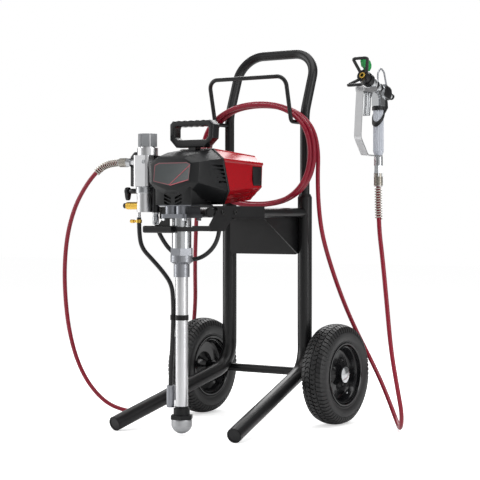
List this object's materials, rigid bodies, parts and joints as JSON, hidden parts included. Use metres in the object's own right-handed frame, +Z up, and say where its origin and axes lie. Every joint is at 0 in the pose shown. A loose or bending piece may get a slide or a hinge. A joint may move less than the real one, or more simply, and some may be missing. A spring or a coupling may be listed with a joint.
{
  "type": "airless paint sprayer",
  "caption": "Electric airless paint sprayer on an upright wheeled cart, with a suction tube, a red hose coiled on the cart's rack and a spray gun at the hose's end.",
  "frame": {"origin": "bottom centre of the whole object without its hose, on the floor", "axes": "+Z up, -Y towards the front of the sprayer, +X towards the gun, the right of someone facing the front"},
  "size_m": [0.9464, 0.6206, 1.0015],
  "materials": {
    "frame_black": "gloss black powder coat",
    "tyre_rubber": "matt black moulded rubber",
    "rim_black": "gloss black",
    "zinc_steel": "bright zinc",
    "cast_silver": "satin casting",
    "chrome_steel": "polished",
    "steel_dark": "dark satin",
    "motor_steel": "satin",
    "plastic_black": "fine texture",
    "plastic_red": "semi gloss",
    "plastic_grey": "ribbed",
    "plastic_green": "semi gloss",
    "brass": "turned",
    "hose_black": "smooth",
    "hose_red": "braided cover under a smooth skin",
    "spring_steel": "bright wire"
  },
  "bodies": {
    "cart": {"hose_rack": "frame_black", "lower_crossbar": "frame_black", "axle_rod": "zinc_steel", "foot_plugs": "plastic_black", "gusset_panel": "frame_black", "frame_screws": "zinc_steel", "pump_saddle": "frame_black", "mount_arms": "frame_black", "frame_tube_left": "frame_black", "frame_tube_right": "frame_black", "handle_tube": "frame_black", "gearbox_casting": "cast_silver", "motor_stator": "motor_steel", "pump_cylinder": "chrome_steel", "foot_valve": "chrome_steel", "siphon_sleeve": "chrome_steel", "siphon_tube": "chrome_steel", "strainer_collar": "plastic_black", "strainer_dome": "zinc_steel", "front_cover": "plastic_black", "motor_cover": "plastic_red", "rear_cap": "plastic_black", "carry_handle": "plastic_black", "power_inlet": "plastic_black", "filter_block": "cast_silver", "filter_bowl": "zinc_steel", "filter_cap": "steel_dark", "prime_valve": "brass", "return_tube": "hose_black", "return_end": "zinc_steel", "tube_clip": "plastic_black", "transfer_hose": "hose_black", "pail_bar": "frame_black", "hose_fittings": "zinc_steel", "hose_coil": "hose_red", "hose_pump_side": "hose_red", "hose_gun_side": "hose_red", "hose_springs": "spring_steel", "gun_swivel": "zinc_steel"},
    "wheel_left": {"wheel_left_tyre": "tyre_rubber", "wheel_left_rim": "rim_black", "wheel_left_cap": "chrome_steel"},
    "wheel_right": {"wheel_right_tyre": "tyre_rubber", "wheel_right_rim": "rim_black", "wheel_right_cap": "chrome_steel"},
    "rotor": {"motor_rotor": "motor_steel"},
    "crank": {"crank_gear": "motor_steel"},
    "piston": {"piston_rod": "chrome_steel"},
    "prime_lever": {"prime_lever": "plastic_black"},
    "pressure_knob": {"pressure_knob": "plastic_black"},
    "power_switch": {"power_switch": "plastic_black"},
    "gun": {"gun_body": "chrome_steel", "gun_grip": "plastic_grey", "gun_hook": "chrome_steel", "gun_strap": "plastic_black", "gun_guard": "zinc_steel"},
    "trigger": {"gun_trigger": "zinc_steel"},
    "trigger_lock": {"gun_trigger_lock": "zinc_steel"},
    "tip_guard": {"gun_tip_guard": "plastic_black"},
    "spray_tip": {"gun_tip": "plastic_green"}
  },
  "joints": [
    {"name": "left_wheel_turn", "type": "hinge", "parent": "cart", "child": "wheel_left", "pos_m": [-0.29458, 0.1656, 0.1323], "axis": [1, 0, 0], "continuous": true},
    {"name": "right_wheel_turn", "type": "hinge", "parent": "cart", "child": "wheel_right", "pos_m": [0.13542, 0.1656, 0.1323], "axis": [1, 0, 0], "continuous": true},
    {"name": "crank_turn", "type": "hinge", "parent": "cart", "child": "crank", "pos_m": [-0.07958, -0.1869, 0.631], "axis": [0, 1, 0], "continuous": true},
    {"name": "rotor_turn", "type": "hinge", "parent": "cart", "child": "rotor", "pos_m": [-0.11308, -0.1089, 0.65633], "axis": [0, 1, 0], "continuous": true},
    {"name": "piston_stroke", "type": "slide", "parent": "cart", "child": "piston", "axis": [0, 0, 1], "range_m": [-0.012, 0.012]},
    {"name": "prime_lever_turn", "type": "hinge", "parent": "cart", "child": "prime_lever", "pos_m": [-0.24258, -0.2364, 0.6115], "axis": [1, 0, 0], "range_deg": [0, 90]},
    {"name": "pressure_knob_turn", "type": "hinge", "parent": "cart", "child": "pressure_knob", "pos_m": [-0.17458, -0.1369, 0.652], "axis": [1, 0, 0], "range_deg": [-135, 135]},
    {"name": "power_switch_rock", "type": "hinge", "parent": "cart", "child": "power_switch", "pos_m": [-0.17088, -0.1009, 0.65], "axis": [0, 0, 1], "range_deg": [0, 16]},
    {"name": "gun_swivel_turn", "type": "hinge", "parent": "cart", "child": "gun", "pos_m": [0.30842, 0.0821, 0.701], "axis": [0, 0, 1], "continuous": true},
    {"name": "trigger_pull", "type": "hinge", "parent": "gun", "child": "trigger", "pos_m": [0.30842, 0.0361, 0.862], "axis": [1, 0, 0], "range_deg": [0, 18], "stiffness_Nm_per_rad": 2, "springref_deg": -5.73},
    {"name": "trigger_lock_turn", "type": "hinge", "parent": "gun", "child": "trigger_lock", "pos_m": [0.30842, 0.0731, 0.846], "axis": [1, 0, 0], "range_deg": [-75, 0]},
    {"name": "tip_guard_turn", "type": "hinge", "parent": "gun", "child": "tip_guard", "pos_m": [0.30842, 0.0091, 0.893], "axis": [0, -0.9511, 0.309], "range_deg": [-90, 90]},
    {"name": "spray_tip_turn", "type": "hinge", "parent": "tip_guard", "child": "spray_tip", "pos_m": [0.30842, 0.0091, 0.893], "axis": [0, 0.309, 0.9511], "range_deg": [0, 180]}
  ],
  "couplings": [
    {"joint": "rotor_turn", "follows": "crank_turn", "ratio": -4.25}
  ]
}
